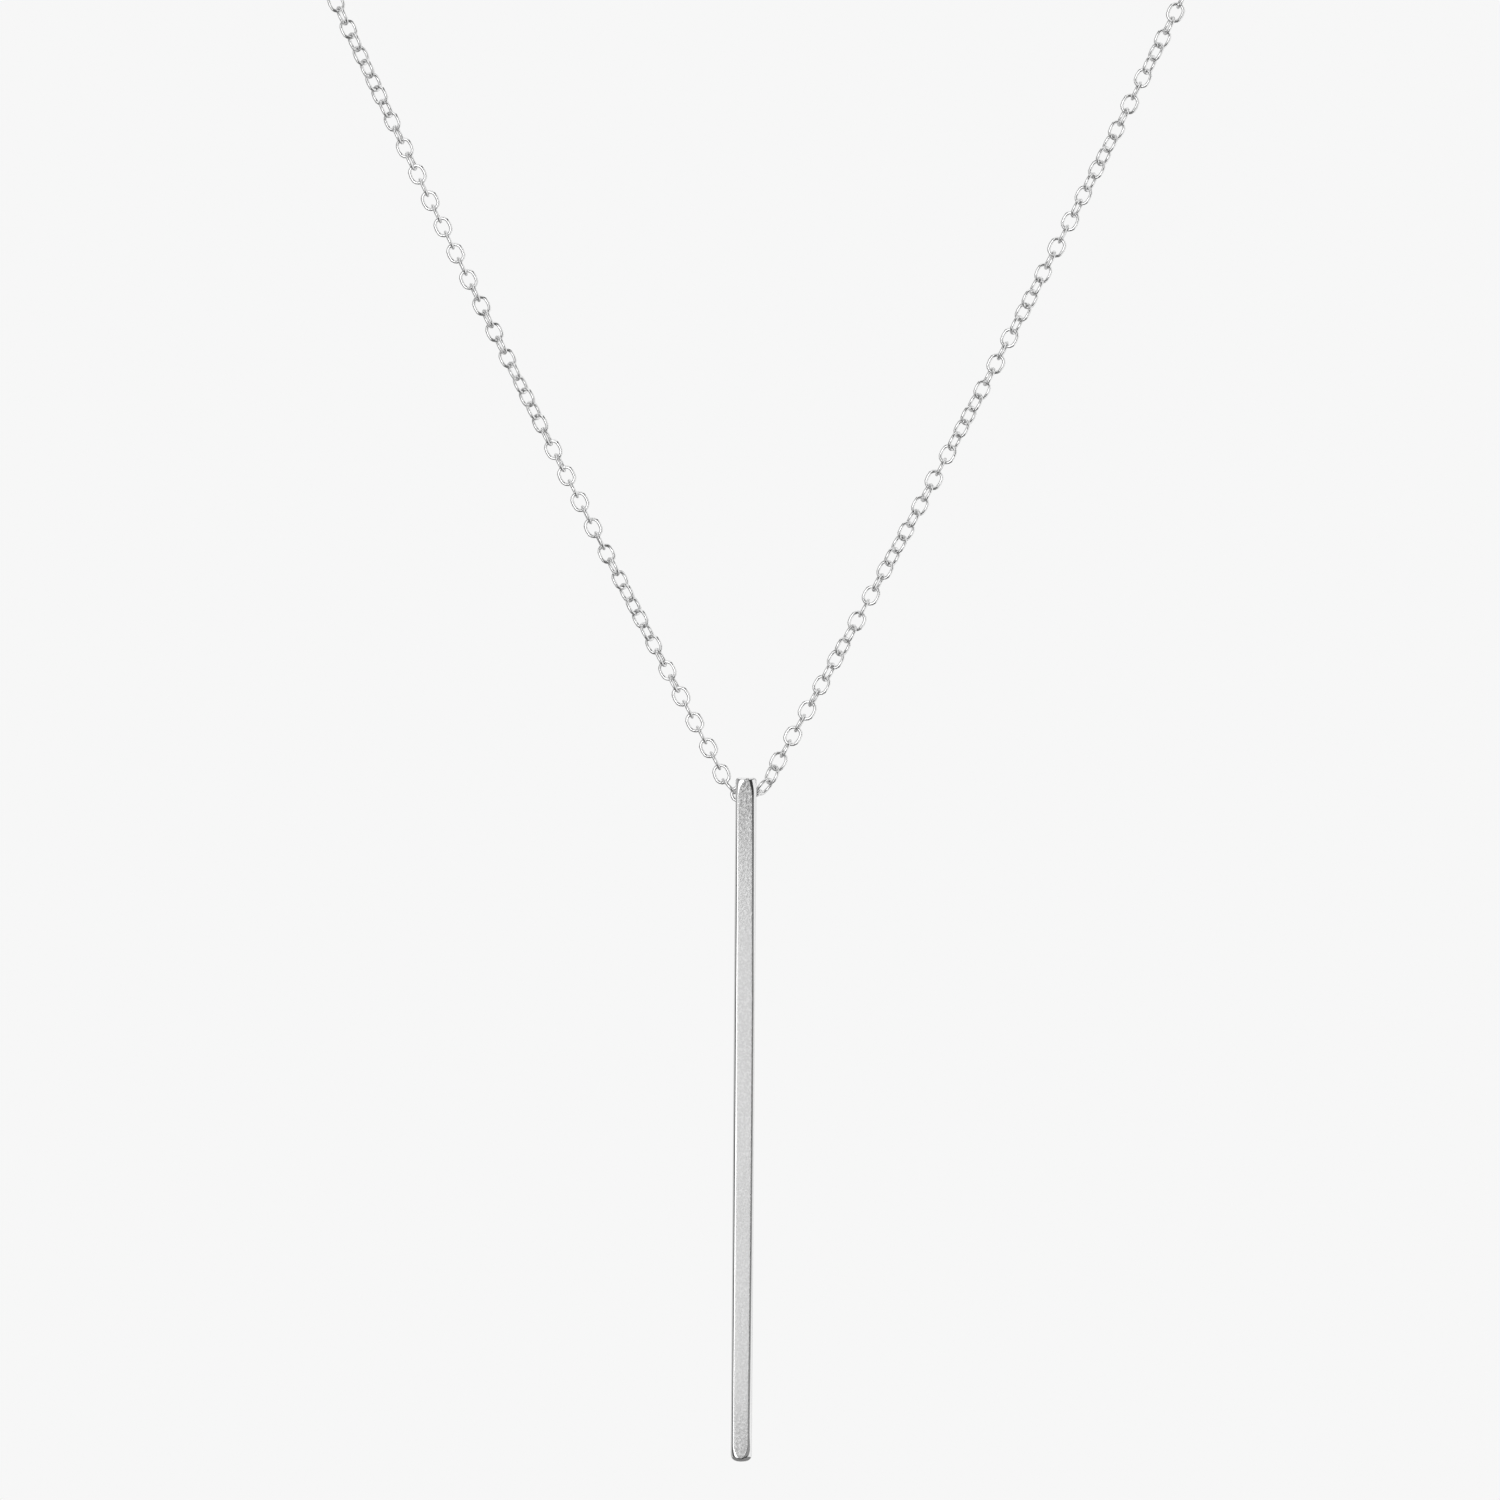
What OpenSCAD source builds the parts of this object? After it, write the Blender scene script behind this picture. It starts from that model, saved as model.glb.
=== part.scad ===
// Bar pendant on its own cable chain, shown as it hangs on a neck.
// The origin is the middle of the clasp at the nape, +Z is up and the bar hangs in front, at -Y.
// The chain runs through a hole from side to side in the bar's top, so the bar swings about X.

/* [Bar] */
// Length of the bar
bar_length = 50; // [30:1:60]
// Width of the bar, seen from the front
bar_width = 1.52; // [1.5:0.01:3]
// Depth of the bar, from front to back
bar_depth = 2.2; // [2.2:0.1:3]
// Radius of the four long edges
edge_round = 0.3; // [0.1:0.05:0.4]
// Radius of the corners at the top
top_round = 0.2; // [0.1:0.05:0.4]
// Radius of the corners at the foot
foot_round = 0.5; // [0.2:0.05:0.6]
// Diameter of the hole that the chain runs through
hole_d = 1.65; // [1.65:0.05:1.8]
// Depth of the hole's middle below the top of the bar
hole_drop = 1.23; // [1.2:0.01:2]

/* [Chain links] */
// Length of a link over its wire
link_length = 1.58; // [1.56:0.01:1.6]
// Width of a link over its wire
link_width = 1.24; // [1.2:0.01:1.26]
// Thickness of the link's wire
link_wire = 0.17; // [0.15:0.01:0.18]
// Distance from one link to the next along the chain
link_pitch = 1.07; // [1.05:0.01:1.08]
// Number of separate links on each side of the bar
links_per_arm = 62; // [10:1:62]

/* [Hang] */
// Height of the nape above the hole in the bar
drop = 139; // [130:1:150]
// Distance of the bar in front of the nape
reach = 76; // [70:1:80]
// Slope of the arms beside the bar, from straight up
arm_slope = 28.85; // [27:0.05:30]
// Slope that the arms have lost where the separate links end
arm_sag = 3.3; // [0:0.1:4]
// Lean of the whole V to one side
arm_lean = 0.27; // [0:0.01:0.5]

/* [Clasp] */
// Outer diameter of the clasp's ring
clasp_d = 5.6; // [5:0.1:7]
// Thickness of the clasp's ring
clasp_wire = 1; // [0.8:0.1:1.2]
// Outer diameter of the two eyes
eye_d = 1.4; // [1.2:0.1:1.6]
// Thickness of the eyes' wire
eye_wire = 0.4; // [0.3:0.05:0.45]

/* [Hidden] */
$fn = 48;

// The first three links on each side turn up out of the hole: slope from straight up of each
near_slope = [65, 42, 22];
// Lowest point of the chain inside the hole, from the hole's middle
low_x = 0.05;
low_z = -0.25;
// The two lowest links pass each other by this much more than the rest
low_overlap = 0.04;
arms_sag_over = 60;

// The chain twists slowly as it hangs. Columns: link counted from the bar, turn in degrees
left_twist = [
    [0, 0], [8, 0], [9, -15], [11, -16], [12, -31], [13, -32], [15, -43], [17, -57], [18, -71],
    [19, -68], [20, -86], [25, -91], [26, -101], [28, -105], [29, -127], [32, -130], [33, -150],
    [35, -161], [38, -166], [40, -178], [48, -183], [49, -197], [51, -196], [52, -209], [54, -214],
    [55, -229], [58, -234], [59, -248], [63, -248]
];
right_twist = [
    [0, 105], [1, 145], [2, 130], [3, 106], [4, 96], [6, 83], [8, 77], [9, 68], [11, 61], [13, 26],
    [14, 8], [15, 0], [16, -14], [17, -17], [19, -45], [20, -48], [21, -59], [24, -71], [26, -92],
    [27, -112], [29, -133], [31, -143], [34, -176], [35, -190], [36, -193], [39, -234], [41, -249],
    [43, -266], [46, -292], [49, -304], [52, -332], [56, -379], [58, -409], [61, -448]
];

// The rest of the chain round the neck, on the right-hand side. Columns: x, y, z
back_route = [
    [40, -74, -63], [47, -68, -47], [52, -59, -33], [55, -48, -22], [55, -36, -14],
    [52, -24, -8], [44, -13, -4], [32, -5, -1], [18, -1, 0], [4.1, 0, 0]
];
back_d = 1.24;
back_sides = 8;
back_steps = 4;
// Clear space between the last separate link and the rest of the chain
back_gap = 0.12;

function slope(side, i) =
    i < len(near_slope)
        ? near_slope[i]
        : arm_slope - arm_sag * (i - len(near_slope)) / arms_sag_over + arm_lean * side;
function heading(side, i) = [side * sin(slope(side, i)), 0, cos(slope(side, i))];
// Points where the links of one arm meet, from the hole upwards
function meeting_points(side) = [
    for (
        i = 0, p = [low_x - side * low_overlap, -reach, low_z - drop];
        i <= links_per_arm;
        p = p + link_pitch * heading(side, i), i = i + 1
    ) p
];

function unit(v) = v / norm(v);
function mirrored(side, p) = [side * p[0], p[1], p[2]];
function smooth(a, b, c, d, t) =
    (2 * b + (c - a) * t + (2 * a - 5 * b + 4 * c - d) * t * t
        + (3 * b - a - 3 * c + d) * t * t * t) / 2;

// Control points of one side's rest of the chain, with one more before and after it
function back_points(side) =
    let (
        way = heading(side, links_per_arm - 1),
        last = meeting_points(side)[links_per_arm],
        start = last + (link_length - link_pitch + 2 * back_gap) / 2 * way,
        route = [for (p = back_route) mirrored(side, p)],
        n = len(route)
    )
    concat([start - 8 * way, start], route, [2 * route[n - 1] - route[n - 2]]);
// The route as a smooth line of points
function back_line(side) =
    let (p = back_points(side), last = len(p) - 3)
    [
        for (k = [1 : last])
            for (j = [0 : back_steps - 1])
                smooth(p[k - 1], p[k], p[k + 1], p[k + 2], j / back_steps),
        p[last + 1]
    ];

// Round tube swept along a line of points, with its rings square to the line
module swept_tube(line, d, sides, across) {
    n = len(line);
    rings = [
        for (i = [0 : n - 1])
            let (
                way = unit(line[min(i + 1, n - 1)] - line[max(i - 1, 0)]),
                u = unit(cross(way, across)),
                v = cross(way, u)
            )
            for (k = [0 : sides - 1])
                line[i] + d / 2 * (cos(360 * k / sides) * u + sin(360 * k / sides) * v)
    ];
    walls = [
        for (i = [0 : n - 2])
            for (k = [0 : sides - 1])
                let (m = (k + 1) % sides)
                [i * sides + m, i * sides + k, (i + 1) * sides + k, (i + 1) * sides + m]
    ];
    near_end = [for (k = [0 : sides - 1]) k];
    far_end = [for (k = [sides - 1 : -1 : 0]) (n - 1) * sides + k];
    polyhedron(points = rings, faces = concat(walls, [near_end, far_end]));
}

// Oval wire link that stands on end, flat to the front
module link() {
    r = (link_width - link_wire) / 2;
    h = (link_length - link_width) / 2;
    for (end = [0, 1])
        mirror([0, 0, end])
            translate([0, 0, h])
                rotate([90, 0, 0])
                    rotate_extrude(angle = 180, $fn = 32)
                        translate([r, 0])
                            circle(d = link_wire, $fn = 16);
    for (side = [-1, 1])
        translate([side * r, 0, 0])
            cylinder(d = link_wire, h = 2 * h, center = true, $fn = 16);
}

// One arm of separate links, each a quarter turn from the next, plus the chain's own twist
module arm(side, twist) {
    p = meeting_points(side);
    for (i = [0 : links_per_arm - 1])
        translate((p[i] + p[i + 1]) / 2)
            rotate([0, side * slope(side, i), 0])
                rotate([0, 0, 90 * i + lookup(i, twist)])
                    link();
}

// Upright outline with rounded corners, its top at 0
module end_outline(w, top_r, foot_r) {
    outline_middle(w, top_r, foot_r);
    for (side = [-1, 1]) {
        translate([side * (w / 2 - top_r), -top_r])
            circle(r = top_r);
        translate([side * (w / 2 - foot_r), foot_r - bar_length])
            circle(r = foot_r);
    }
}

// The parts of the outline between its rounded corners
module outline_middle(w, top_r, foot_r) {
    translate([-w / 2, foot_r - bar_length])
        square([w, bar_length - top_r - foot_r]);
    translate([top_r - w / 2, -bar_length / 2])
        square([w - 2 * top_r, bar_length / 2]);
    translate([foot_r - w / 2, -bar_length])
        square([w - 2 * foot_r, bar_length / 2]);
}

module plan_outline() {
    for (turn = [0, 1])
        square(
            [bar_width - 2 * edge_round * turn, bar_depth - 2 * edge_round * (1 - turn)],
            center = true
        );
    for (x = [-1, 1])
        for (y = [-1, 1])
            translate([x * (bar_width / 2 - edge_round), y * (bar_depth / 2 - edge_round)])
                circle(r = edge_round);
}

module bar() {
    color("silver")
    translate([0, -reach, -drop])
        difference() {
            translate([0, 0, hole_drop])
                intersection() {
                    translate([0, 0, -bar_length - 1])
                        linear_extrude(bar_length + 2)
                            plan_outline();
                    rotate([90, 0, 0])
                        linear_extrude(bar_depth + 2, center = true)
                            end_outline(bar_width, top_round, foot_round);
                    rotate([90, 0, 90])
                        linear_extrude(bar_width + 2, center = true)
                            end_outline(bar_depth, top_round, edge_round);
                }
            rotate([0, 90, 0])
                cylinder(d = hole_d, h = bar_width + 2, center = true);
        }
}

module chain_front() {
    color("gainsboro") {
        arm(-1, left_twist);
        arm(1, right_twist);
    }
}

module chain_back() {
    color("gainsboro")
    for (side = [-1, 1])
        swept_tube(back_line(side), back_d, back_sides, [side, 0.4, -1]);
}

module clasp() {
    color("silver") {
        rotate([90, 0, 0])
            rotate_extrude()
                translate([(clasp_d - clasp_wire) / 2, 0])
                    circle(d = clasp_wire);
        for (side = [-1, 1])
            translate([side * (clasp_d + eye_d - 2 * eye_wire) / 2, 0, 0])
                rotate_extrude()
                    translate([(eye_d - eye_wire) / 2, 0])
                        circle(d = eye_wire);
    }
}

bar();
chain_front();
chain_back();
clasp();
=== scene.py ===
# %% [markdown]
# # Bar pendant on a fine cable chain
# A slim silver bar hangs free on a chain that runs straight through a hole in its top, from side to side.
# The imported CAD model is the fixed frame: it says where the bar, the chain and the clasp are and how the bar
# swings. This script gives the pieces their looks. Nothing is placed by eye, so a piece can't drift off.

# %% Load the frame
import math

import bpy
import numpy as np
from mathutils import Matrix, Vector


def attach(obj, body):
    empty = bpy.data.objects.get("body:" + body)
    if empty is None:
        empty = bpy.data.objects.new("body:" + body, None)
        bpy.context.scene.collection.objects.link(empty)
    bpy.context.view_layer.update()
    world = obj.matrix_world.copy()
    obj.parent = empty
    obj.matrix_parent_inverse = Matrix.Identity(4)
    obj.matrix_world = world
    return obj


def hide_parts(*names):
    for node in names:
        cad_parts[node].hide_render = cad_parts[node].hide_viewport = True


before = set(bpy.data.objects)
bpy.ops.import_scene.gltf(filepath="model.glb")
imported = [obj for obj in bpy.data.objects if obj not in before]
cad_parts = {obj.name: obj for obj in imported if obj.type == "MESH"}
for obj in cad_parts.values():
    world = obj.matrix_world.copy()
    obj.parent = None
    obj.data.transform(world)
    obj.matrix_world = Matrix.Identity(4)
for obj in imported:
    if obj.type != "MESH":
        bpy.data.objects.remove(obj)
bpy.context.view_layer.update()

# %% [markdown]
# ## Lengths and a way into the mesh
# Jewellery is easier to think of in millimetres, but Blender and the frame count in metres. So every shape
# below is worked out in millimetres as a numpy array, and one function turns it into a mesh in metres.
# A shape here is always a grid: rows of points, with a four-sided face between each point and its neighbours.

# %% From a grid to a mesh
MM = 0.001


def grid_faces(rows, columns, first=0):
    """Four-sided faces of a grid of points, closed from its last column to its first.

    Point (row, column) has the number first + row * columns + column. Each face joins a point to the next in
    its row and the same two in the row after.
    """
    row, column = np.meshgrid(np.arange(rows - 1), np.arange(columns), indexing="ij")
    beside = (column + 1) % columns
    here = first + row * columns
    return np.stack([here + column, here + beside, here + columns + beside, here + columns + column], -1)


def volume(points, faces):
    """Enclosed volume, above zero where the faces point outwards.

    It adds up the signed volume of the pyramid from the origin to each triangle: a . (b x c) / 6.
    """
    a, b, c, d = (points[faces[..., k]].reshape(-1, 3) for k in range(4))
    triangles = [(a, b, c), (a, c, d)]
    return sum(np.einsum("ij,ij->", p, np.cross(q, r)) for p, q, r in triangles) / 6


def new_piece(name, points, faces, body, node):
    """Makes the mesh object of a piece, hangs it on its body's empty and hides the CAD node it replaces."""
    mesh = bpy.data.meshes.new(name)
    mesh.from_pydata((points * MM).tolist(), [], faces)
    mesh.shade_smooth()
    piece = bpy.data.objects.new(name, mesh)
    bpy.context.scene.collection.objects.link(piece)
    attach(piece, body)
    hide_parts(node)
    print(name, len(points), "points,", len(faces), "faces")
    return piece


def paint(piece, name, values):
    """Keeps one number for each point of a piece, which its material can read under that name."""
    layer = piece.data.attributes.new(name, "FLOAT", "POINT")
    layer.data.foreach_set("value", np.ascontiguousarray(values, dtype=np.float32).ravel())


# %% [markdown]
# ## One link
# A cable chain is made of plain oval rings of round wire, each soldered shut. A torus primitive could be
# stretched, but that would flatten the wire as well. So the link is a surface of two angles: one goes round
# the oval, the other goes round the wire, and the wire stays round everywhere.
# The inside of each end meets the next link, so those points get a number of their own, for painted shade
# there.

# %% Shape of a link
LINK_LENGTH, LINK_WIDTH, LINK_WIRE, LINK_PITCH = 1.56, 1.285, 0.24, 1.07
# Points round the oval and round the wire, in front and round the neck
FRONT_GRID, NECK_GRID = (16, 8), (12, 6)


def link_shape(around, sides):
    """Points of a link that stands along z and is flat to y, and how far each lies inside an end.

    The oval is two half circles, pushed apart by the length that the link has over its width. The wire's circle
    stands square to it: oval point + wire radius * (cos s * outwards + sin s * y).
    """
    t = np.arange(around)[:, None] * 2 * np.pi / around
    s = -np.arange(sides)[None, :] * 2 * np.pi / sides
    half_gap = (LINK_LENGTH - LINK_WIDTH) / 2
    radius = (LINK_WIDTH - LINK_WIRE) / 2 + LINK_WIRE / 2 * np.cos(s)
    x = radius * np.sin(t)
    y = LINK_WIRE / 2 * np.sin(s) + 0 * t
    z = radius * np.cos(t) + half_gap * np.clip(4 * np.cos(t), -1, 1)
    inside_end = np.cos(t) ** 2 * (0.5 - 0.5 * np.cos(s)) ** 2
    return np.stack([x, y, z], -1), inside_end


def chain_of(points, turns, reference, around, sides):
    """Links between each two points of a chain, as one array of points, its faces and where links meet, for
    painted shade.

    The frame of a link is its way from point to point, u = reference x way and v = way x u. The link's width
    lies along cos(turn) * u + sin(turn) * v.
    """
    way = np.diff(points, axis=0)
    way /= np.linalg.norm(way, axis=1, keepdims=True)
    u = np.cross(reference, way)
    u /= np.linalg.norm(u, axis=1, keepdims=True)
    v = np.cross(way, u)
    cos, sin = np.cos(turns)[:, None], np.sin(turns)[:, None]
    frames = np.stack([cos * u + sin * v, cos * v - sin * u, way], 1)
    shape, inside_end = link_shape(around, sides)
    middle = (points[:-1] + points[1:]) / 2
    placed = middle[:, None, None] + np.einsum("abk,nkj->nabj", shape, frames)
    one = grid_faces(around + 1, sides) % (around * sides)
    faces = one.reshape(1, -1, 4) + np.arange(len(way))[:, None, None] * around * sides
    return placed.reshape(-1, 3), faces.reshape(-1, 4), np.tile(inside_end.ravel(), len(way))


one_link, _, _ = chain_of(np.array([[0, 0, 0], [0, 0, LINK_PITCH]]), np.zeros(1), [0, 1, 0], *FRONT_GRID)
print("a link measures", np.ptp(one_link, axis=0).round(3), "mm")

# %% [markdown]
# ## The links in front
# The photograph shows 62 links on each side of the bar. A chain never hangs quite flat: each link stands a
# quarter turn from the last, and the whole chain twists slowly on top of that, so some links show their
# open face and others only their edge. The twist was read off the photograph link by link. The table keeps
# the links where it changes, and np.interp fills in between. An array modifier on a curve would repeat one
# twist and couldn't follow this.

# %% Route of the two arms
DROP, REACH, LINKS_IN_FRONT = 139.0, 76.0, 62
NEAR_SLOPE, ARM_SLOPE, ARM_SAG, ARM_LEAN = [65, 42, 22], 28.85, 3.3, 0.27
SAG_OVER = 60
# Lowest point of the chain, from the hole's middle, and how far the two lowest links pass each other there
LOW_X, LOW_Z, LOW_OVERLAP = 0.05, -0.25, 0.04
# Columns: link counted from the bar, turn in degrees
LEFT_TWIST = [[0, 0], [8, 0], [9, -15], [11, -16], [12, -31], [13, -32], [15, -43], [17, -57], [18, -71],
              [19, -68], [20, -86], [25, -91], [26, -101], [28, -105], [29, -127], [32, -130], [33, -150],
              [35, -161], [38, -166], [40, -178], [48, -183], [49, -197], [51, -196], [52, -209], [54, -214],
              [55, -229], [58, -234], [59, -248], [63, -248]]
RIGHT_TWIST = [[0, 105], [1, 145], [2, 130], [3, 106], [4, 96], [6, 83], [8, 77], [9, 68], [11, 61], [13, 26],
               [14, 8], [15, 0], [16, -14], [17, -17], [19, -45], [20, -48], [21, -59], [24, -71], [26, -92],
               [27, -112], [29, -133], [31, -143], [34, -176], [35, -190], [36, -193], [39, -234], [41, -249],
               [43, -266], [46, -292], [49, -304], [52, -332], [56, -379], [58, -409], [61, -448]]


def arm_points(side):
    """Points where the links of one arm meet, from the hole upwards, each one pitch on at that link's slope."""
    link = np.arange(LINKS_IN_FRONT)
    slope = ARM_SLOPE - ARM_SAG * (link - len(NEAR_SLOPE)) / SAG_OVER + ARM_LEAN * side
    slope[:len(NEAR_SLOPE)] = NEAR_SLOPE
    slope = np.radians(slope)
    steps = LINK_PITCH * np.stack([side * np.sin(slope), 0 * slope, np.cos(slope)], 1)
    start = np.array([LOW_X - LOW_OVERLAP * side, -REACH, LOW_Z - DROP])
    return start + np.vstack([np.zeros(3), np.cumsum(steps, axis=0)])


def arm_turns(twist):
    """Turn of each link in radians: a quarter turn a link, plus the chain's own twist."""
    link = np.arange(LINKS_IN_FRONT)
    return np.radians(90 * link + np.interp(link, *np.transpose(twist)))


# %% Links of the two arms
def joined(parts):
    """Puts several arrays of points, faces and painted numbers into one, with the faces renumbered."""
    counts = np.cumsum([0] + [len(points) for points, _, _ in parts[:-1]])
    points = np.vstack([part[0] for part in parts])
    faces = np.vstack([part[1] + first for part, first in zip(parts, counts)])
    return points, faces, np.concatenate([part[2] for part in parts])


arms = {-1: (arm_points(-1), arm_turns(LEFT_TWIST)), 1: (arm_points(1), arm_turns(RIGHT_TWIST))}
points, faces, contact_shade_mask = joined([chain_of(*arm, [0, 1, 0], *FRONT_GRID) for arm in arms.values()])
links_front = new_piece("chain_links_front", points, faces, "necklace", "chain_front")
# Painted shade where links meet, as a number for each point
paint(links_front, "contact_shade_mask", contact_shade_mask)
print("volume of the links in front", round(volume(points, faces), 2), "mm3")

# %% [markdown]
# ## The links round the neck
# Behind the photograph's edge the chain goes on over the collar bones to the clasp at the nape. The CAD has a
# plain tube there. Here it is links again, laid along a smooth line through the same few points as the tube.
# The slow twist is spread so that the last link stands square in the eye of the clasp, as a real one must.

# %% Route round the neck
BACK_ROUTE = [[40, -74, -63], [47, -68, -47], [52, -59, -33], [55, -48, -22], [55, -36, -14], [52, -24, -8],
              [44, -13, -4], [32, -5, -1], [18, -1, 0], [4.1, 0, 0]]
EYE_CONTACT_X = 3.42
# How far past the last link in front the CAD's tube begins, and the length of straight lead before it
TUBE_START, LEAD = 0.375, 8
# Usual twist of the chain in degrees a link
USUAL_TWIST = -4


def smooth_line(knots, steps):
    """Smooth line through all knots but the first and last (a uniform Catmull-Rom spline).

    Between b and c, with neighbours a and d: (2b + (c-a)t + (2a-5b+4c-d)t^2 + (3b-a-3c+d)t^3) / 2.
    """
    t = (np.arange(steps) / steps)[None, :, None]
    a, b, c, d = (knots[k:len(knots) - 3 + k, None] for k in range(4))
    line = (2 * b + (c - a) * t + (2 * a - 5 * b + 4 * c - d) * t**2 + (3 * b - a - 3 * c + d) * t**3) / 2
    return np.vstack([line.reshape(-1, 3), knots[-2]])


def back_points(side):
    """Points where the links round the neck meet, evenly spaced from the last link in front to the clasp."""
    arm = arms[side][0]
    way = (arm[-1] - arm[-2]) / LINK_PITCH
    start = arm[-1] + TUBE_START * way
    route = np.array(BACK_ROUTE) * [side, 1, 1]
    line = smooth_line(np.vstack([start - LEAD * way, start, route, 2 * route[-1] - route[-2]]), 40)
    line = np.vstack([arm[-1], line, [side * EYE_CONTACT_X, 0, 0]])
    along = np.concatenate([[0], np.cumsum(np.linalg.norm(np.diff(line, axis=0), axis=1))])
    count = round(along[-1] / LINK_PITCH)
    even = np.linspace(0, along[-1], count + 1)
    return np.stack([np.interp(even, along, line[:, k]) for k in range(3)], 1)


def back_turns(side, points, reference):
    """Turn of each link round the neck, in step with the arm and square to the clasp's eye.

    The angle of a wanted width w in a link's frame is atan2(w . v, w . u). The twist a link is the total
    between the two ends, taken in half turns to lie nearest the chain's usual 4 degrees a link.
    """
    def angle(way, wanted):
        u = np.cross(reference, way)
        return math.atan2(wanted @ np.cross(way, u) * np.linalg.norm(u), wanted @ u * np.linalg.norm(way))

    arm, turns = arms[side]
    way = arm[-1] - arm[-2]
    way /= np.linalg.norm(way)
    u = np.cross([0, 1, 0], way)
    width = np.cos(turns[-1]) * u + np.sin(turns[-1]) * np.cross(way, u)
    first = angle(way, width) + np.pi / 2
    last_way = points[-1] - points[-2]
    last = angle(last_way / np.linalg.norm(last_way), np.array([0, 0, 1.0]))
    links = len(points) - 1
    usual = np.radians(USUAL_TWIST) * (links - 1)
    quarter_turns = np.pi / 2 * (links - 1)
    spare = last - first - quarter_turns
    twist = spare + np.pi * round((usual - spare) / np.pi)
    return first + np.arange(links) * (quarter_turns + twist) / (links - 1)


# %% Links round the neck
parts = []
for side in (-1, 1):
    reference = np.array([side, 0.4, -1.0])
    line = back_points(side)
    parts.append(chain_of(line, back_turns(side, line, reference), reference, *NECK_GRID))
    print("side", side, len(line) - 1, "links, pitch", round(float(np.linalg.norm(line[1] - line[0])), 4), "mm")
points, faces, contact_shade_mask = joined(parts)
links_back = new_piece("chain_links_back", points, faces, "necklace", "chain_back")
# Painted shade where links meet, as a number for each point
paint(links_back, "contact_shade_mask", contact_shade_mask)

# %% [markdown]
# ## The bar
# The bar is forged square wire. Its front was sandblasted, and then its long edges and both ends were buffed
# bright, which left the matte face with a pointed top that leans to one side and a round foot.
# Blender could bevel a box and cut the hole with a boolean, but then the edge of the matte face would lie
# anywhere. So the bar is worked out row by row: each height has its own section, a rectangle with four
# rounded corners, and the width of the front's flat is one of its numbers. The outline of the matte face is
# then a line of the mesh itself. Hand buffing leaves no edge quite even, so how far each front edge falls back
# and how full its curve is change along the bar too, which bends the bright and dark lines that run down it.

# %% Sections of the bar
BAR_LENGTH, BAR_HALF_WIDTH, BAR_HALF_DEPTH, HOLE_DROP, HOLE_RADIUS = 50.0, 0.76, 1.1, 1.23, 0.825
TOP, FOOT = HOLE_DROP, HOLE_DROP - BAR_LENGTH
# Radii of the rounded ends: at the top, and at the foot as seen from the front and from the side
TOP_ROUND, FOOT_ROUND, FOOT_ROUND_SIDE = 0.2, 0.5, 0.36
# How far the buffed edges at the back reach along the back and along the sides
BACK_EDGE, BACK_EDGE_DEPTH = 0.3, 0.25
# The matte face's round end at the foot: where it starts, its height and its middle
END_START, END_HEIGHT, END_MIDDLE = FOOT + 1.25, 1.0, -0.05
# Left and right limit of the matte face at depths under the top
FACE_LIMITS = [[0.03, 0.04, 0.18], [0.1, 0.0, 0.19], [0.15, -0.07, 0.2], [0.22, -0.14, 0.21],
               [0.37, -0.26, 0.24], [0.66, -0.44, 0.33], [0.95, -0.52, 0.39], [1.3, -0.56, 0.42],
               [2.4, -0.56, 0.43], [3.8, -0.55, 0.45], [9, -0.53, 0.47], [16, -0.54, 0.52],
               [23, -0.52, 0.535], [31, -0.525, 0.525], [38, -0.54, 0.505], [45, -0.557, 0.457],
               [48.4, -0.557, 0.447]]
# How far the buffed left and right edges fall back, and the power of each one's curve, at depths under the top
EDGE_FORM = [[0.1, 0.4, 0.45, 2, 1.8], [0.22, 0.37, 0.43, 2, 1.8], [0.37, 0.29, 0.37, 2, 1.8],
             [0.66, 0.25, 0.31, 2, 1.8], [0.95, 0.25, 0.25, 2, 1.8], [2.4, 0.25, 0.25, 2, 1.8],
             [5.2, 0.25, 0.25, 2, 2], [9, 0.25, 0.25, 2, 2.25], [13, 0.25, 0.25, 2, 2.4],
             [16, 0.25, 0.25, 2, 3], [31, 0.25, 0.25, 2, 3], [38, 0.25, 0.25, 2, 2.5],
             [45.5, 0.25, 0.25, 2, 2], [48.4, 0.25, 0.25, 2, 1.8], [48.8, 0.25, 0.2, 2, 2],
             [49.2, 0.24, 0.2, 1.8, 2], [49.5, 0.34, 0.3, 1.9, 1.9], [49.75, 0.45, 0.42, 1.9, 1.8]]


def rounded(height, full, top_radius, foot_radius):
    """Half width of an upright outline with rounded ends: full - r + sqrt(r^2 - rise^2) within r of an end."""
    half = np.full_like(height, full)
    for rise, radius in ((height - TOP + top_radius, top_radius), (FOOT + foot_radius - height, foot_radius)):
        inside = np.sqrt(np.clip(radius**2 - np.clip(rise, 0, radius) ** 2, 0, None))
        half += inside - radius
    return half


def table_at(height, table):
    """Columns of a table at each height, with its first column taken as the depth under the top."""
    depth, *columns = np.transpose(table)
    return [np.interp(TOP - height, depth, column) for column in columns]


def face_limits(height):
    """Left and right limit of the matte face: the table, closed at the foot by a round end about its middle.

    The end narrows as (1 - rise^1.7)^0.59, which is a little more pointed than a half circle.
    """
    rise = np.clip((END_START - height) / END_HEIGHT, 0, 1)
    narrow = np.clip((1 - rise**1.7) ** 0.59, 0.05, 1)
    return [(limit - END_MIDDLE) * narrow + END_MIDDLE for limit in table_at(height, FACE_LIMITS)]


def corner(count, from_x, from_y, to_x, to_y, front, power=2):
    """Quarter of a superellipse between two points, as count steps: |x|^power + |y|^power = 1.

    It leaves the front or back along x and meets the side along y, or the other way round. A power of 2 is an
    ellipse, a lower one is nearer to a flat bevel and a higher one to a square edge.
    """
    step = (np.arange(count) / count * np.pi / 2)[None, :]
    sin, cos = np.sin(step) ** (2 / power), np.cos(step) ** (2 / power)
    go, come = (sin, 1 - cos) if front else (1 - cos, sin)
    return from_x + (to_x - from_x) * go, from_y + (to_y - from_y) * come


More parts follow.
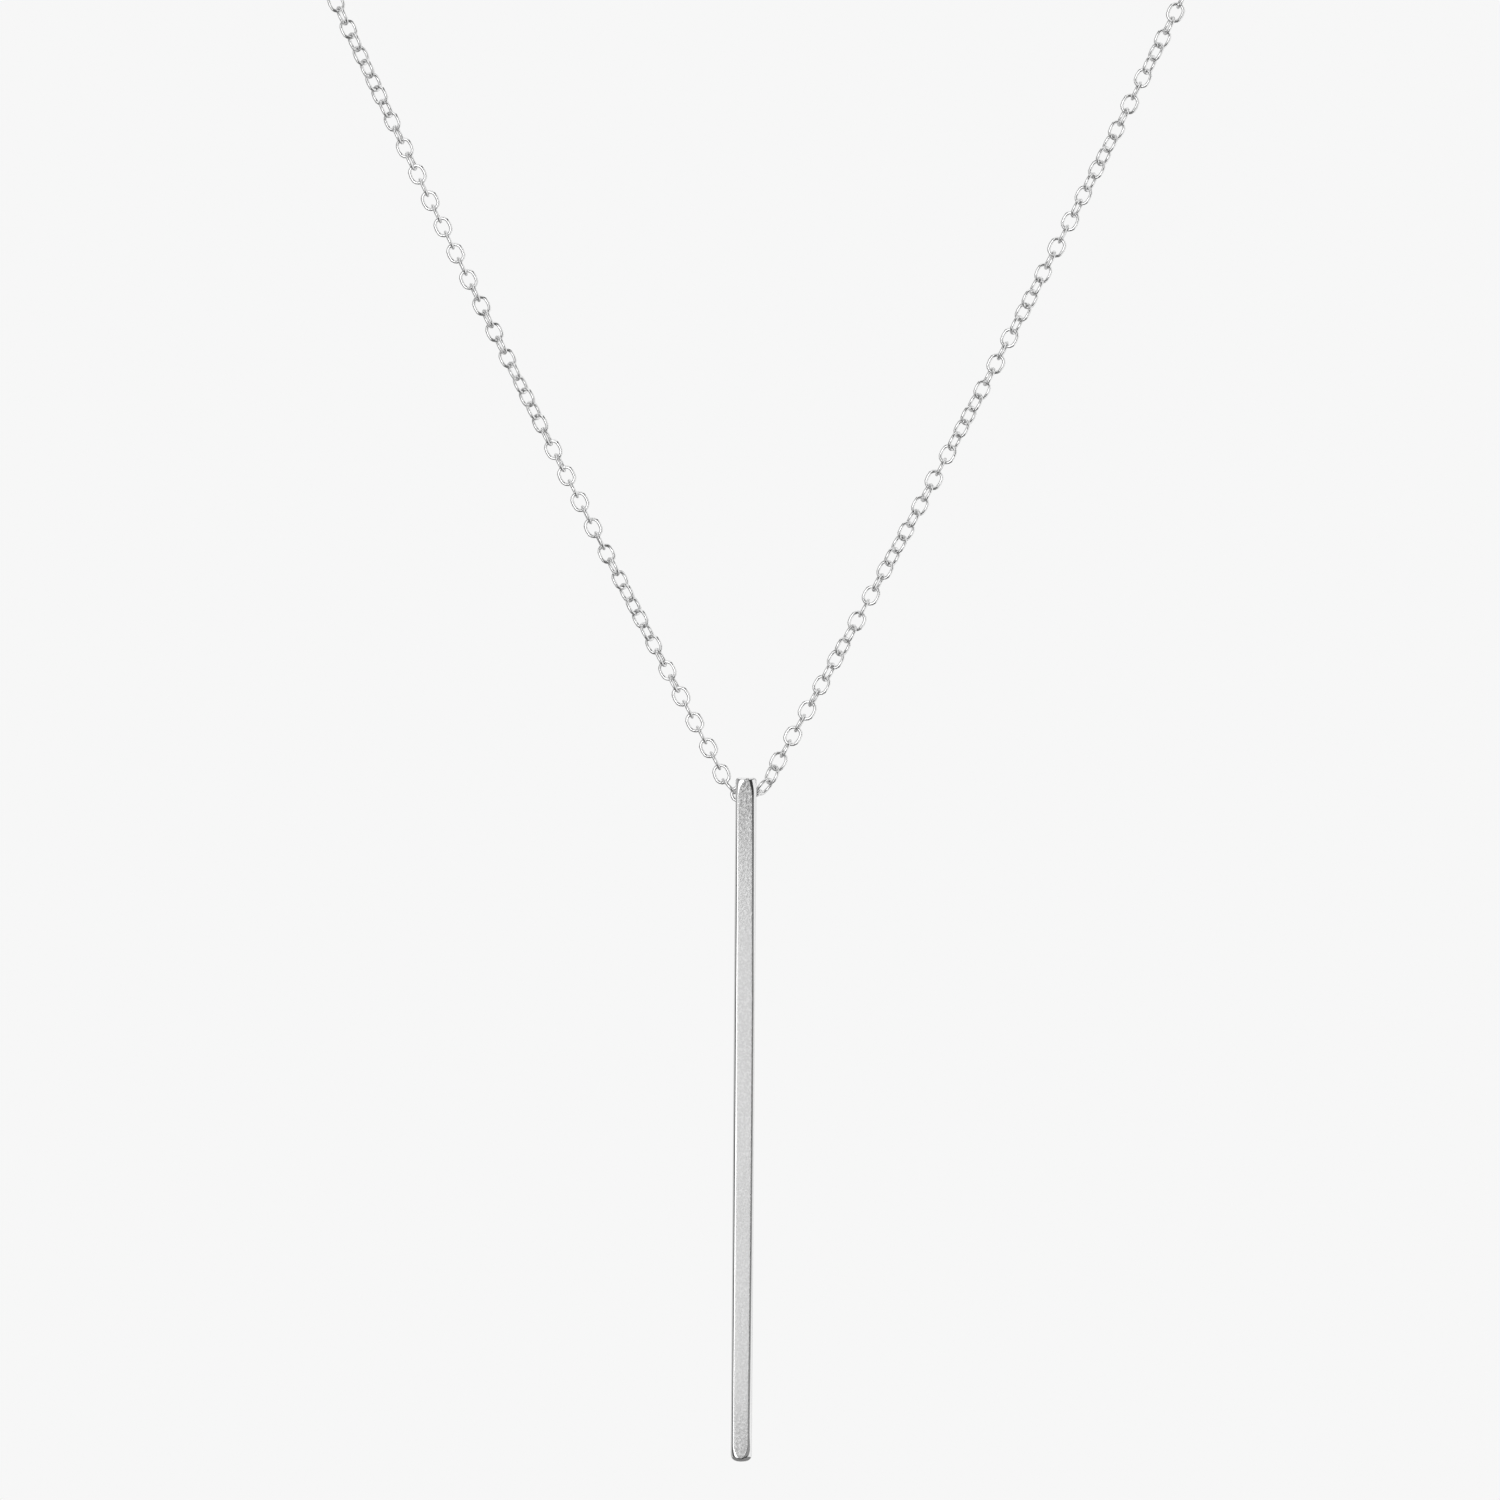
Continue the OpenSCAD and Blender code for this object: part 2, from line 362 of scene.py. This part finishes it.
def straight(count, from_x, from_y, to_x, to_y):
    """Straight run of a section between two points, as count steps."""
    step = (np.arange(count) / count)[None, :]
    return from_x + (to_x - from_x) * step, from_y + (to_y - from_y) * step


# %% Rows of the bar
ACROSS, ROUND, SIDE = 8, 8, 12
# Heights of the rows beside the hole, one more than SIDE
HOLE_ROWS = [-0.93, -0.8, -0.64, -0.46, -0.27, -0.08, 0.12, 0.33, 0.57, 0.7, 0.78, 0.86, 0.94]
end = np.radians(np.linspace(0, 90, 9))
heights = np.unique(np.round(np.concatenate([
    FOOT + FOOT_ROUND * (1 - np.cos(end)),
    END_START - END_HEIGHT * np.sin(np.radians(np.linspace(0, 90, 11))),
    np.arange(FOOT + 2, -7, 2),
    [-6, -5, -4, -3, -2.4, -1.9, -1.4],
    HOLE_ROWS,
    [TOP - 0.22],
    TOP - TOP_ROUND * (1 - np.sin(end)),
]), 4))
h = heights[:, None]
half_width = rounded(h, BAR_HALF_WIDTH, TOP_ROUND, FOOT_ROUND)
front_y = -rounded(h, BAR_HALF_DEPTH, TOP_ROUND, FOOT_ROUND_SIDE)
left, right = face_limits(h)
left_depth, right_depth, left_power, right_power = table_at(h, EDGE_FORM)
left_shoulder, right_shoulder = front_y + left_depth, front_y + right_depth
back_shoulder = -front_y - BACK_EDGE_DEPTH
back_flat = half_width - BACK_EDGE
runs = [
    straight(ACROSS, left, front_y, right, front_y),
    corner(ROUND, right, front_y, half_width, right_shoulder, True, right_power),
    straight(SIDE, half_width, right_shoulder, half_width, back_shoulder),
    corner(ROUND, half_width, back_shoulder, back_flat, -front_y, False),
    straight(ACROSS, back_flat, -front_y, -back_flat, -front_y),
    corner(ROUND, -back_flat, -front_y, -half_width, back_shoulder, True),
    straight(SIDE, -half_width, back_shoulder, -half_width, left_shoulder),
    corner(ROUND, -half_width, left_shoulder, left, front_y, False, left_power),
]
x = np.hstack([run[0] for run in runs])
y = np.hstack([run[1] for run in runs])
rows, columns = x.shape
skin = np.stack([x, y, h + 0 * x], -1)
print(rows, "rows of", columns, "points; front corner nearest", skin[:, :, 1].min().round(3), "mm")

# %% [markdown]
# ## The hole
# The hole goes through the bar's sides, and its mouths are slightly rounded, so that they don't cut the chain.
# The grid of the skin has as many rows beside the hole as columns, so the patch that is left open there
# has a border of 48 points. A ring of 48 points on the hole's mouth then joins to it one to one, and the
# surface stays closed with no boolean. One more ring lies flat just outside the lip, so that the lip's
# rounding doesn't tilt the shading of the large faces beside it.

# %% Skin with its two mouths, and the hole's wall
first_row = int(np.argmin(abs(heights - HOLE_ROWS[0])))
block = slice(first_row, first_row + SIDE)
right_side = ACROSS + ROUND
left_side = right_side + SIDE + ROUND + ACROSS + ROUND
skin_faces = grid_faces(rows, columns)
keep = np.ones(skin_faces.shape[:2], dtype=bool)
keep[block, right_side:right_side + SIDE] = False
keep[block, left_side:left_side + SIDE] = False


def border(first_column, mirror):
    """Numbers of the 48 points round a patch, from its lower front corner along the foot, up, back and down."""
    up = np.arange(SIDE)
    low, high = first_row, first_row + SIDE
    numbers = np.concatenate([
        low * columns + first_column + up, (low + up) * columns + first_column + SIDE,
        high * columns + first_column + SIDE - up, (high - up) * columns + first_column])
    turned = (SIDE - np.arange(4 * SIDE)) % (4 * SIDE)
    return numbers[turned] if mirror else numbers


flat_skin = skin.reshape(-1, 3)
mouth_right, mouth_left = border(right_side, False), border(left_side, True)
angle = np.arctan2(flat_skin[mouth_right][:, 2], flat_skin[mouth_right][:, 1])
LIP, FLAT_RING = 0.015, 0.006
soft = np.radians(np.linspace(0, 90, 5))
lip_x = np.insert(BAR_HALF_WIDTH - LIP * (1 - np.cos(soft)), 0, BAR_HALF_WIDTH)
lip_radius = np.insert(HOLE_RADIUS + LIP * (1 - np.sin(soft)), 0, HOLE_RADIUS + LIP + FLAT_RING)
wall_x = np.concatenate([lip_x, [0.25, -0.25], -lip_x[::-1]])[:, None]
wall_radius = np.concatenate([lip_radius, [HOLE_RADIUS] * 2, lip_radius[::-1]])[:, None]
wall = np.stack([wall_x + 0 * angle, wall_radius * np.cos(angle), wall_radius * np.sin(angle)], -1)
first_wall = len(flat_skin)
wall_faces = grid_faces(len(wall), 4 * SIDE, first_wall)


def strip(ring_a, ring_b):
    """Four-sided faces between two rings of as many points."""
    return np.stack([ring_a, np.roll(ring_a, -1), np.roll(ring_b, -1), ring_b], -1)


ring = np.arange(4 * SIDE)
last_wall = first_wall + (len(wall) - 1) * 4 * SIDE
sides = [strip(mouth_right, first_wall + ring), strip(last_wall + ring, mouth_left)]
bar_points = np.vstack([flat_skin, wall.reshape(-1, 3)])
bar_faces = np.vstack([skin_faces[keep], wall_faces.reshape(-1, 4), *sides])
caps = [np.arange(columns)[::-1].tolist(), ((rows - 1) * columns + np.arange(columns)).tolist()]
fans = np.array([[cap[0], *cap[k:k + 2], cap[k + 1]] for cap in caps for k in range(1, columns - 1)])
print("volume of the bar", round(volume(bar_points, np.vstack([bar_faces, fans])), 2), "mm3")

# %% Bar piece and its matte face
bar_points = bar_points + [0, -REACH, -DROP]
bar = new_piece("pendant_bar", bar_points, bar_faces.tolist() + caps, "pendant", "bar")
on_face = np.zeros((rows, columns))
face_rows = (heights > END_START - END_HEIGHT - 0.01) & (heights < TOP - 0.03)
on_face[face_rows, :ACROSS + 1] = 1
paint(bar, "matte_face", np.concatenate([on_face.ravel(), np.zeros(len(bar_points) - rows * columns)]))

# %% [markdown]
# ## The clasp
# The clasp is hidden in the photograph, so it is the plainest that does the work: a closed ring with a small
# eye soldered to each side, where the ends of the chain hang in. Each is a torus, a circle carried round a
# circle, and the ring's wire is a little flattened, as drawn wire is after it has been hammered round.

# %% Ring and eyes
RING_RADIUS, RING_WIRE, RING_FLAT, RING_GRID = 2.3, 1.0, 0.94, (64, 16)
EYE_RADIUS, EYE_WIRE, EYE_X, EYE_GRID = 0.5, 0.4, 3.1, (28, 12)


def torus(radius, wire, flat, around, sides):
    """Points of a ring in the xy plane: (radius + wire/2 cos s) round z, and flat * wire/2 sin s up."""
    t = np.arange(around)[:, None] * 2 * np.pi / around
    s = np.arange(sides)[None, :] * 2 * np.pi / sides
    out = radius + wire / 2 * np.cos(s)
    return np.stack([out * np.cos(t), out * np.sin(t), flat * wire / 2 * np.sin(s) + 0 * t], -1).reshape(-1, 3)


def torus_faces(around, sides):
    """Faces of such a ring, closed both ways, pointing outwards."""
    return (grid_faces(around + 1, sides) % (around * sides)).reshape(-1, 4)[:, ::-1]


UPRIGHT = np.array([[1, 0, 0], [0, 0, 1], [0, -1, 0]])
ring_points = torus(RING_RADIUS, RING_WIRE, RING_FLAT, *RING_GRID) @ UPRIGHT
eye = torus(EYE_RADIUS, EYE_WIRE, 1, *EYE_GRID)
parts = [(ring_points, torus_faces(*RING_GRID), np.zeros(len(ring_points)))]
parts += [(eye + [side * EYE_X, 0, 0], torus_faces(*EYE_GRID), np.zeros(len(eye))) for side in (-1, 1)]
points, faces, _ = joined(parts)
clasp = new_piece("clasp_ring", points, faces, "necklace", "clasp")
print("volume of the clasp", round(volume(points, faces), 2), "mm3")

# %% [markdown]
# ## Writing materials as sums
# A material is a graph of nodes. Wiring it by hand hides what it means, so one small class wraps a socket:
# adding or multiplying two of them puts the Math node in place, and 1 - mask reads as it does on paper.
# Every other node comes from one method, which sets the node's own settings first and its sockets after.

# %% Sockets that can be added and multiplied
class Value:
    """One output socket of a material. Sums with numbers or other values add Math nodes."""

    def __init__(self, socket):
        self.socket = socket

    @classmethod
    def node(cls, tree, kind, settings=None, inputs=None, output=0):
        """Adds a node, applies its settings, fills its sockets with values or links, and returns one output."""
        made = tree.nodes.new(kind)
        for name, setting in (settings or {}).items():
            setattr(made, name, setting)
        for name, value in (inputs or {}).items():
            if isinstance(value, cls):
                tree.links.new(value.socket, made.inputs[name])
            else:
                made.inputs[name].default_value = value
        return cls(made.outputs[output])

    def maths(self, operation, first, second):
        return self.node(self.socket.id_data, "ShaderNodeMath", {"operation": operation}, {0: first, 1: second})

    def __add__(self, other):
        return self.maths("ADD", self, other)

    def __sub__(self, other):
        return self.maths("SUBTRACT", self, other)

    def __rsub__(self, other):
        return self.maths("SUBTRACT", other, self)

    def __mul__(self, other):
        return self.maths("MULTIPLY", self, other)

    __radd__, __rmul__ = __add__, __mul__


# %% A metal to start from
def new_metal(name):
    """Makes a material with a Principled shader set to metal, and returns it with its tree and its shader."""
    material = bpy.data.materials.new(name)
    material.use_nodes = True
    shader = material.node_tree.nodes["Principled BSDF"]
    shader.inputs["Metallic"].default_value = 1.0
    return material, material.node_tree, shader


def noise(tree, scale, detail, stretch=(1, 1, 1)):
    """Noise on Object coordinates, from 0 to 1. Scale counts its bumps in a metre."""
    place = Value.node(tree, "ShaderNodeTexCoord", output="Object")
    place = Value.node(tree, "ShaderNodeMapping", {}, {"Vector": place, "Scale": stretch})
    return Value.node(tree, "ShaderNodeTexNoise", {}, {"Vector": place, "Scale": scale, "Detail": detail})


def height_in(tree):
    """Height of a point in metres, from its Object coordinates."""
    place = Value.node(tree, "ShaderNodeTexCoord", output="Object")
    return Value.node(tree, "ShaderNodeSeparateXYZ", {}, {0: place}, "Z")


def grey(level):
    """Neutral colour of one level, as silver has."""
    return level, level, level, 1


def blend_colour(tree, factor, low, high):
    """Colour between two others, by a value from 0 to 1."""
    return Value.node(tree, "ShaderNodeMix", {"data_type": "RGBA"}, {0: factor, 6: low, 7: high}, 2)


def between(tree, value, low, high):
    """Value turned into 0 below low and 1 above high, with a smooth step between."""
    settings = {"interpolation_type": "SMOOTHSTEP"}
    return Value.node(tree, "ShaderNodeMapRange", settings, {0: value, 1: low, 2: high})


def feed(shader, name, value):
    """Links a value to a socket of the shader."""
    shader.id_data.links.new(value.socket, shader.inputs[name])


# %% [markdown]
# ## Silver of the bar
# The buffed edges are a near mirror. The face was blasted with fine grit: it is pale grey, scatters light
# evenly, and up close it is full of bright specks about 0.15 mm wide. They are coarsest near the top. Towards
# the top, its tip and the foot, the face's grey is painted darker: that is painted shade. Both are one piece of
# metal, so it is one material, and the painted number matte_face chooses between the two. One noise feeds the
# colour, the roughness and a bump, so that the specks stay where they are when the light moves.

# %% Bar material
# Heights in metres between which the face is painted with shade, or turns coarse. The top is at -0.1378, the
# foot at -0.1878
PAINTED_SHADE_TOP, PAINTED_SHADE_TIP, PAINTED_SHADE_FOOT = (-0.1465, -0.1355), (-0.1390, -0.1379), (-0.189, -0.1815)
COARSE_TOP = (-0.1525, -0.139)
metal, tree, shader = new_metal("silver_bar")
face = Value.node(tree, "ShaderNodeAttribute", {"attribute_name": "matte_face"}, output="Fac")
face = between(tree, face, 0.8, 0.97)
height = height_in(tree)
grit = noise(tree, 5200, 5)
specks = between(tree, grit, 0.44, 0.62)
cloud = noise(tree, 500, 2)
scuffs = noise(tree, 2600, 3, (1, 1, 0.12))
# Masks of painted shade: the face's grey is painted darker towards the top, the tip and the foot
top_end = between(tree, height, *PAINTED_SHADE_TOP)
tip = between(tree, height, *PAINTED_SHADE_TIP)
foot_end = 1 - between(tree, height, *PAINTED_SHADE_FOOT)
painted_end_shade = 0.7 * top_end + 0.5 * foot_end + 0.3 * tip
painted_end_shade = blend_colour(tree, painted_end_shade, grey(0.79), grey(0.36))
face_grey = blend_colour(tree, specks, painted_end_shade, grey(0.905))
bright = blend_colour(tree, cloud, grey(0.90), grey(0.96))
feed(shader, "Base Color", blend_colour(tree, face, bright, face_grey))
feed(shader, "Roughness", 0.07 + 0.06 * scuffs + face * (0.36 + 0.14 * grit))
relief = 0.45 + 2.0 * between(tree, height, *COARSE_TOP) + 0.8 * foot_end
grain = {"Height": grit * face * relief, "Distance": 0.00004, "Strength": 0.6}
bump = Value.node(tree, "ShaderNodeBump", {}, grain)
feed(shader, "Normal", bump)
bar.data.materials.append(metal)

# %% [markdown]
# ## Silver of the chain and the clasp
# The links are tumbled bright. Where two links meet, inside each end, a painted number makes the colour darker,
# as painted shade, and the surface rougher. By the hole the links are painted darker still, as shade from the
# bar.
# A slow noise keeps the links from being all alike.

# %% Chain and clasp materials
metal, tree, shader = new_metal("silver_chain")
# Painted shade and more roughness where links meet, from the painted number
contact_shade = Value.node(tree, "ShaderNodeAttribute", {"attribute_name": "contact_shade_mask"}, output="Fac")
contact_shade = between(tree, contact_shade, 0.4, 1.0)
uneven = noise(tree, 900, 2)
bright = blend_colour(tree, uneven, grey(0.9), grey(0.98))
# Painted shade: links by the hole are painted much darker, as shade from the bar
NEAR_HOLE = (-0.1383, -0.1371)
near_hole = 1 - between(tree, height_in(tree), *NEAR_HOLE)
painted_shade_colour = blend_colour(tree, near_hole, grey(0.6), grey(0.10))
feed(shader, "Base Color", blend_colour(tree, contact_shade, bright, painted_shade_colour))
feed(shader, "Roughness", 0.15 + 0.09 * uneven + 0.22 * contact_shade)
for piece in (links_front, links_back):
    piece.data.materials.append(metal)

metal, tree, shader = new_metal("silver_clasp")
uneven = noise(tree, 700, 3)
feed(shader, "Base Color", blend_colour(tree, uneven, grey(0.88), grey(0.96)))
feed(shader, "Roughness", 0.08 + 0.12 * uneven)
clasp.data.materials.append(metal)

# %% [markdown]
# ## Camera
# The photograph looks at the bar almost square on, from about 0.7 m, with a long lens. The camera stands a
# third of a degree to the left, so that a hair of the bar's left side shows. The bar leans 0.41 degrees to
# the right in the picture, which is the camera's roll.

# %% Camera
AIM = Vector((0.27, -76.0, -135.73)) * MM
DISTANCE, WIDTH_SEEN = 0.7, 0.1098
SENSOR = 36
azimuth, roll = math.radians(-0.3), math.radians(0.41)
back = Vector((math.sin(azimuth), -math.cos(azimuth), 0))
level = Vector((0, 0, 1)).cross(back)
across = math.cos(roll) * level + math.sin(roll) * Vector((0, 0, 1))
up = back.cross(across)
camera = bpy.data.objects.new("camera", bpy.data.cameras.new("camera"))
camera.data.lens = SENSOR * DISTANCE / WIDTH_SEEN
camera.data.clip_start, camera.data.clip_end = 0.01, 20
turn = Matrix((across, up, back)).transposed().to_4x4()
camera.matrix_world = Matrix.Translation(AIM + DISTANCE * back) @ turn
bpy.context.scene.collection.objects.link(camera)
bpy.context.scene.camera = camera
print("lens", round(camera.data.lens, 1), "mm")

# %% [markdown]
# ## Studio
# Polished metal shows its surroundings, so the lights are what gives it form. A tall light stands at the front
# left and a small bright one beside the camera: they whiten the bar's face and left edge, and the middle of
# every wire. At the right in front there is only a weak one, which leaves the dark line down the right of the
# bar's face. Softer ones at the sides and behind keep the outlines of the wires pale, and one overhead lights
# the ends and the tops of the links. The camera sees a pale empty room and a pale floor, but the metal sees a
# dark room and a duller floor with these lights above it, and that gives the bar's foot its dark rim.

# %% Lights
def softbox(name, azimuth, elevation, distance, width, height, glow):
    """Rectangular light that faces the bar. Its watts are glow * area * 4, so glow is how bright it looks."""
    a, e = math.radians(azimuth), math.radians(elevation)
    away = Vector((math.sin(a) * math.cos(e), -math.cos(a) * math.cos(e), math.sin(e)))
    data = bpy.data.lights.new(name, "AREA")
    data.shape, data.size, data.size_y = "RECTANGLE", width, height
    data.energy = glow * width * height * 4
    light = bpy.data.objects.new(name, data)
    light.location = AIM + distance * away
    light.rotation_euler = away.to_track_quat("Z", "Y").to_euler()
    light.visible_camera = False
    bpy.context.scene.collection.objects.link(light)
    print(name, round(data.energy, 2), "W")


softbox("light_left", -28, 0, 1.2, 0.78, 2.4, 1.0)
softbox("light_front", -5, 0, 1.25, 0.4, 0.6, 2.0)
softbox("light_right_low", 28, -13.5, 1.2, 0.78, 0.554, 0.18)
softbox("light_right", 72, 0, 1.2, 1.04, 2.4, 0.66)
softbox("light_right_back", 122, 0, 1.2, 1.22, 2.4, 0.62)
softbox("light_left_high", -66, 17.7, 1.2, 0.87, 0.8, 0.25)
softbox("light_left_back", -120, 0, 1.2, 1.6, 2.4, 0.38)
softbox("light_back", 180, 0, 1.2, 1.1, 2.4, 0.5)
softbox("light_top", 0, 95, 1.1, 1.2, 2.0, 0.65)

# %% Room and floor
world = bpy.data.worlds.new("room")
world.use_nodes = True
bpy.context.scene.world = world
tree = world.node_tree
seen = Value.node(tree, "ShaderNodeLightPath", output="Is Camera Ray")
colour = blend_colour(tree, seen, grey(0.04), grey(0.93))
tree.links.new(colour.socket, tree.nodes["Background"].inputs["Color"])

FLOOR_Z = -0.6
floor_corners = [(-0.5, -0.3, FLOOR_Z), (0.5, -0.3, FLOOR_Z), (0.5, 0.6, FLOOR_Z), (-0.5, 0.6, FLOOR_Z)]
floor_mesh = bpy.data.meshes.new("floor")
floor_mesh.from_pydata(floor_corners, [], [(0, 1, 2, 3)])
floor = bpy.data.objects.new("floor", floor_mesh)
bpy.context.scene.collection.objects.link(floor)
pale = bpy.data.materials.new("pale_floor")
pale.use_nodes = True
shader = pale.node_tree.nodes["Principled BSDF"]
shader.inputs["Base Color"].default_value = grey(0.35)
shader.inputs["Roughness"].default_value = 0.9
shader.inputs["Emission Strength"].default_value = 1
seen = Value.node(pale.node_tree, "ShaderNodeLightPath", output="Is Camera Ray")
glow = blend_colour(pale.node_tree, seen, grey(0), grey(0.71))
feed(shader, "Emission Color", glow)
floor.data.materials.append(pale)
bpy.context.scene.view_settings.view_transform = "Standard"
